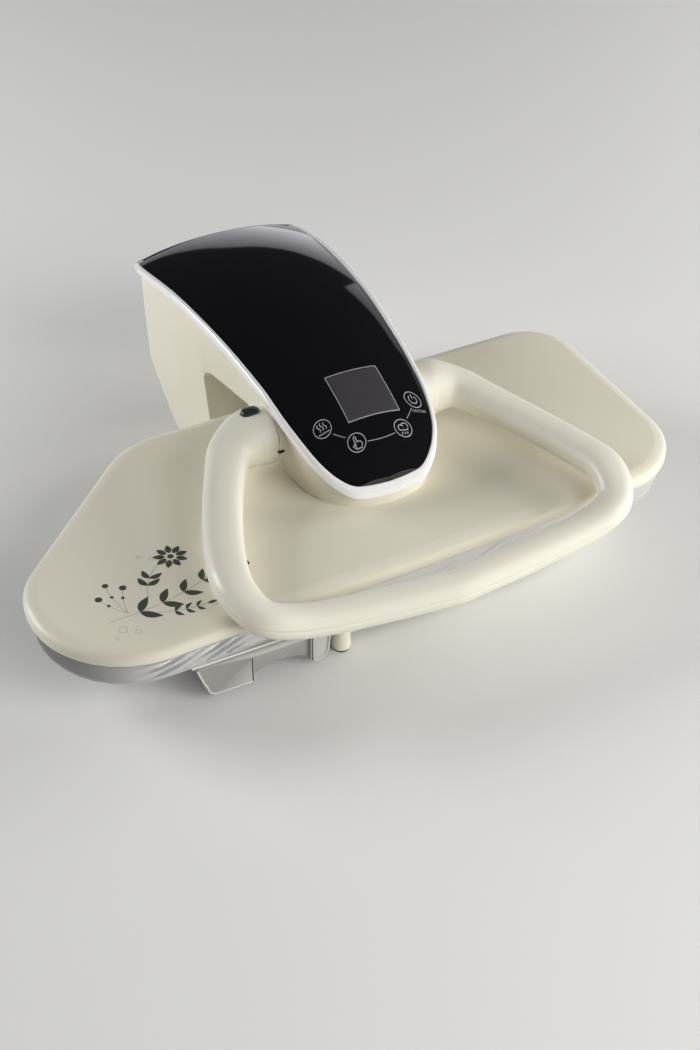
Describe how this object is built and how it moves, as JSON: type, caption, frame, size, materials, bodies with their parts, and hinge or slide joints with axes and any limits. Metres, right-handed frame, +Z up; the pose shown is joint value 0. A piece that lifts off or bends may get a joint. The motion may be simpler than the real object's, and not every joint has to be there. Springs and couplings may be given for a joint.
{
  "type": "steam ironing press",
  "caption": "Steam ironing press: padded board on a low base, hinged arm with a heated shoe and glossy hood panel, loop handle that presses the shoe down, and a pull-out water tank.",
  "frame": {"origin": "middle of the outline's box at the table, under the feet", "axes": "+X to the right along the board, +Y to the back where the arm's hinge is, +Z up"},
  "size_m": [0.6772, 0.5584, 0.205],
  "materials": {
    "ivory_plastic": "satin moulded",
    "foot_rubber": "matt",
    "board_grey": "matt",
    "foam": "soft foam and felt",
    "silver_cloth": "coated woven cloth",
    "steel": "brushed",
    "bronze": "plain bearing",
    "pump_plastic": "moulded",
    "white_plastic": "moulded",
    "silicone": "soft tube",
    "black_rubber": "matt",
    "board_green": "lacquered",
    "tank_plastic": "moulded, half clear",
    "black_gloss": "polished",
    "display_grey": "polished",
    "rim_silver": "satin plated",
    "plate_aluminium": "cast and ground",
    "ceramic": "fired",
    "spring_steel": "wire",
    "button_dark": "moulded"
  },
  "bodies": {
    "base": {"base_pan": "ivory_plastic", "base_feet": "foot_rubber", "board_frame": "board_grey", "board_pad": "foam", "board_cover": "silver_cloth", "base_screws": "steel", "hinge_bracket": "steel", "hinge_bushes": "bronze", "bracket_screws": "steel", "water_pump": "pump_plastic", "pump_mounts": "foot_rubber", "tank_rails": "white_plastic", "tank_coupling": "white_plastic", "suction_hose": "silicone", "lower_hose": "silicone", "base_loom": "black_rubber", "power_board": "board_green", "cord_inlet": "black_rubber"},
    "tank": {"tank_body": "tank_plastic", "tank_lid": "white_plastic", "tank_valve": "white_plastic", "tank_seal": "black_rubber"},
    "arm": {"arm_frame": "steel", "hinge_shaft": "steel", "shaft_clips": "spring_steel", "arm_housing": "ivory_plastic", "head_front": "ivory_plastic", "rim_trim": "rim_silver", "hood_panel": "black_gloss", "display_lens": "display_grey", "display_module": "board_green", "control_board": "board_green", "handle_bushes": "bronze", "lift_springs": "spring_steel", "upper_hose": "silicone", "arm_loom": "black_rubber", "float_springs": "spring_steel", "housing_screws": "steel"},
    "shoe": {"shoe_cover": "ivory_plastic", "sole_plate": "plate_aluminium", "heating_element": "steel", "chamber_lid": "plate_aluminium", "thermostat": "steel", "thermal_fuse": "ceramic", "heat_shield": "steel", "float_bolts": "steel", "thrust_block": "ceramic", "shoe_screws": "steel"},
    "handle": {"handle_top": "ivory_plastic", "handle_bottom": "ivory_plastic", "handle_shaft": "steel", "press_cams": "steel", "handle_screws": "steel", "button_spring": "spring_steel"},
    "button": {"lock_button": "button_dark"}
  },
  "joints": [
    {"name": "arm_hinge", "type": "hinge", "parent": "base", "child": "arm", "pos_m": [0.027, 0.17525, 0.04], "axis": [-1, 0, 0], "range_deg": [0, 42], "deforming": ["lift_springs", "lower_hose", "upper_hose", "base_loom", "arm_loom"]},
    {"name": "handle_hinge", "type": "hinge", "parent": "arm", "child": "handle", "pos_m": [0.027, -0.02775, 0.133], "axis": [-1, 0, 0], "range_deg": [0, 25]},
    {"name": "shoe_float", "type": "slide", "parent": "arm", "child": "shoe", "axis": [0, 0, 1], "range_m": [0, 0.004], "deforming": ["float_springs"]},
    {"name": "tank_slide", "type": "slide", "parent": "base", "child": "tank", "axis": [0, -1, 0], "range_m": [0, 0.15]},
    {"name": "button_press", "type": "slide", "parent": "handle", "child": "button", "axis": [0, 0, -1], "range_m": [0, 0.0025], "stiffness_N_per_m": 400, "deforming": ["button_spring"]}
  ],
  "couplings": [
    {"joint": "shoe_float", "follows": "handle_hinge", "m_per_rad": 0.009167}
  ]
}
